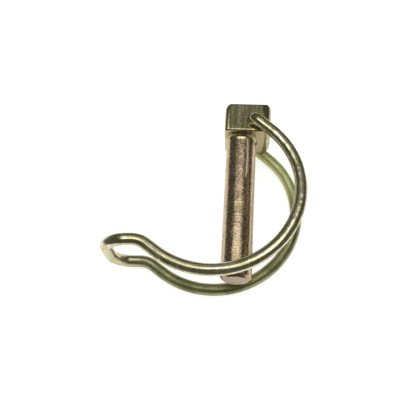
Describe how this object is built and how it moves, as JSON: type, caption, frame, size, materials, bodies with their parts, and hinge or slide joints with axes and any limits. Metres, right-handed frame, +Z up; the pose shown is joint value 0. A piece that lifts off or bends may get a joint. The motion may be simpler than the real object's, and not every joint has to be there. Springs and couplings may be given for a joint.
{
  "type": "lynch pin",
  "caption": "Headed locking pin with a hinged double-wire bail whose legs pass the pin's tip on either side and end in a finger loop.",
  "frame": {"origin": "on the shank's axis, at the underside of the head", "axes": "-Y along the shank to its tip, +X towards the side that the bail arches over, +Z up along the bail's hinge axis, the pin lying on its side on the lower leg of the bail"},
  "size_m": [0.065, 0.0631, 0.0246],
  "materials": {
    "plated_forging": "yellow chromate over zinc on forged steel, semi-bright",
    "plated_wire": "yellow chromate over zinc on drawn spring wire, bright"
  },
  "bodies": {
    "pin": {"forged_pin": "plated_forging"},
    "bail": {"wire_bail": "plated_wire"}
  },
  "joints": [
    {"name": "bail_pivot", "type": "hinge", "parent": "pin", "child": "bail", "pos_m": [0.0038, 0.0042, 0], "axis": [0, 0, 1], "range_deg": [0, 180]}
  ]
}
